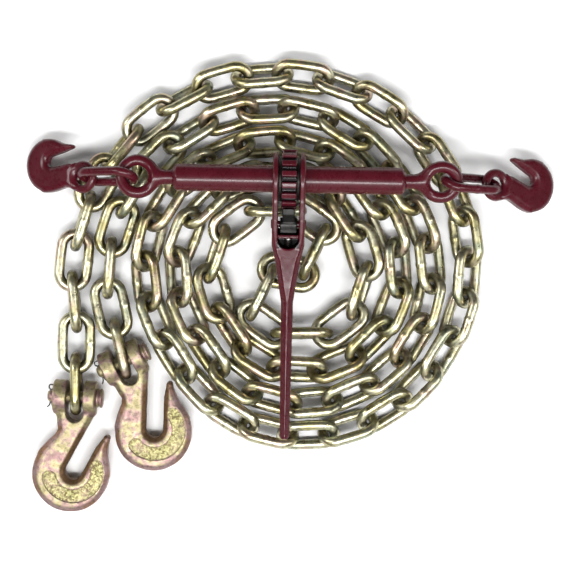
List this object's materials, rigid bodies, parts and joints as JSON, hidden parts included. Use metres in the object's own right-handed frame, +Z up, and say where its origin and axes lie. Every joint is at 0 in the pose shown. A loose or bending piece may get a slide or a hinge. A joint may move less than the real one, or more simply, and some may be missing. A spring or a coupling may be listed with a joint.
{
  "type": "load binder chain",
  "caption": "Ratchet load binder with grab hooks at both ends, lying on a coiled tie-down chain that ends in clevis grab hooks.",
  "frame": {"origin": "centre of the bounding box, on the floor that the coil lies on", "axes": "+X along the binder's barrel, +Y away from the handle's end, +Z up from the floor"},
  "size_m": [0.6744, 0.5799, 0.119],
  "materials": {
    "chain_zinc": "zinc-plated, yellow chromate tint",
    "clevis_zinc": "zinc-plated, yellow chromate",
    "red_paint": "gloss enamel",
    "black_steel": "blackened",
    "plain_steel": "plain"
  },
  "bodies": {
    "coil": {"coil_chain_1": "chain_zinc", "coil_chain_2": "chain_zinc", "coil_chain_3": "chain_zinc", "coil_chain_4": "chain_zinc", "coil_chain_5": "chain_zinc", "coil_chain_6": "chain_zinc", "coil_chain_7": "chain_zinc", "coil_chain_8": "chain_zinc", "coil_chain_9": "chain_zinc", "coil_chain_10": "chain_zinc", "coil_chain_11": "chain_zinc"},
    "tail_a1": {"tail_link_a1": "chain_zinc"},
    "tail_a2": {"tail_link_a2": "chain_zinc"},
    "tail_a3": {"tail_link_a3": "chain_zinc"},
    "hook_a": {"clevis_hook_a": "clevis_zinc", "clevis_pin_a": "clevis_zinc", "cotter_pin_a": "black_steel"},
    "tail_b1": {"tail_link_b1": "chain_zinc", "tail_link_b2": "chain_zinc"},
    "tail_b3": {"tail_link_b3": "chain_zinc"},
    "hook_b": {"clevis_hook_b": "clevis_zinc", "clevis_pin_b": "clevis_zinc", "cotter_pin_b": "black_steel"},
    "binder_base": {"thrust_washers": "plain_steel"},
    "barrel": {"barrel_tube": "red_paint", "ratchet_gear": "red_paint", "thread_nut_left": "plain_steel", "thread_nut_right": "plain_steel"},
    "rod_left": {"eyebolt_left": "red_paint"},
    "rod_right": {"eyebolt_right": "red_paint"},
    "handle": {"handle": "red_paint", "pawl_pin": "red_paint", "detent_plunger": "plain_steel", "detent_spring": "plain_steel"},
    "pawl": {"pawl": "black_steel"},
    "link_left": {"binder_link_left": "red_paint"},
    "binder_hook_left_body": {"binder_hook_left": "red_paint"},
    "link_right": {"binder_link_right": "red_paint"},
    "binder_hook_right_body": {"binder_hook_right": "red_paint"}
  },
  "joints": [
    {"name": "tail_a1_lift", "type": "hinge", "parent": "coil", "child": "tail_a1", "pos_m": [-0.27476, -0.00385, 0.02331], "axis": [-0.9961, 0.0887, 0], "range_deg": [0, 40]},
    {"name": "tail_a2_swing", "type": "hinge", "parent": "tail_a1", "child": "tail_a2", "pos_m": [-0.26672, -0.05606, 0.02343], "axis": [0, 0, 1], "range_deg": [-20, 0]},
    {"name": "tail_a3_lift", "type": "hinge", "parent": "tail_a2", "child": "tail_a3", "pos_m": [-0.26691, -0.10786, 0.02346], "axis": [-1, 0, 0], "range_deg": [0, 35]},
    {"name": "clevis_hook_a_lift", "type": "hinge", "parent": "tail_a3", "child": "hook_a", "pos_m": [-0.26604, -0.14345, 0.0215], "axis": [-0.9994, 0.0349, 0], "range_deg": [0, 60]},
    {"name": "tail_b1_lift", "type": "hinge", "parent": "coil", "child": "tail_b1", "pos_m": [-0.22829, 0.04061, 0.02326], "axis": [-0.957, 0.2901, 0], "range_deg": [0, 40]},
    {"name": "tail_b3_lift", "type": "hinge", "parent": "tail_b1", "child": "tail_b3", "pos_m": [-0.21537, -0.06269, 0.02346], "axis": [-0.9703, -0.2419, 0], "range_deg": [0, 35]},
    {"name": "clevis_hook_b_lift", "type": "hinge", "parent": "tail_b3", "child": "hook_b", "pos_m": [-0.20676, -0.09723, 0.0215], "axis": [-0.9063, -0.4226, 0], "range_deg": [0, 60]},
    {"name": "binder_lift", "type": "slide", "parent": "coil", "child": "binder_base", "axis": [0, 0, 1], "range_m": [0, 0.15]},
    {"name": "barrel_spin", "type": "hinge", "parent": "binder_base", "child": "barrel", "pos_m": [-0.001, 0.1332, 0.082], "axis": [1, 0, 0], "range_deg": [0, 7200]},
    {"name": "rod_left_slide", "type": "slide", "parent": "binder_base", "child": "rod_left", "axis": [-1, 0, 0], "range_m": [0, 0.101]},
    {"name": "rod_right_slide", "type": "slide", "parent": "binder_base", "child": "rod_right", "axis": [1, 0, 0], "range_m": [0, 0.101]},
    {"name": "handle_swing", "type": "hinge", "parent": "binder_base", "child": "handle", "pos_m": [-0.001, 0.1332, 0.082], "axis": [-1, 0, 0], "range_deg": [0, 180]},
    {"name": "pawl_rock", "type": "hinge", "parent": "handle", "child": "pawl", "pos_m": [-0.001, 0.07841, 0.07721], "axis": [1, 0, 0], "range_deg": [-10, 10]},
    {"name": "link_left_lift", "type": "hinge", "parent": "rod_left", "child": "link_left", "pos_m": [-0.207, 0.1332, 0.082], "axis": [0, 1, 0], "range_deg": [0, 30]},
    {"name": "binder_hook_left_lift", "type": "hinge", "parent": "link_left", "child": "binder_hook_left_body", "pos_m": [-0.24501, 0.1332, 0.061], "axis": [0, 1, 0], "range_deg": [0, 25]},
    {"name": "link_right_lift", "type": "hinge", "parent": "rod_right", "child": "link_right", "pos_m": [0.205, 0.1332, 0.082], "axis": [0, -1, 0], "range_deg": [0, 30]},
    {"name": "binder_hook_right_lift", "type": "hinge", "parent": "link_right", "child": "binder_hook_right_body", "pos_m": [0.24301, 0.1332, 0.061], "axis": [0, -1, 0], "range_deg": [0, 12]}
  ],
  "couplings": [
    {"joint": "rod_left_slide", "follows": "barrel_spin", "m_per_rad": 0.00079577},
    {"joint": "rod_right_slide", "follows": "barrel_spin", "m_per_rad": 0.00079577}
  ]
}
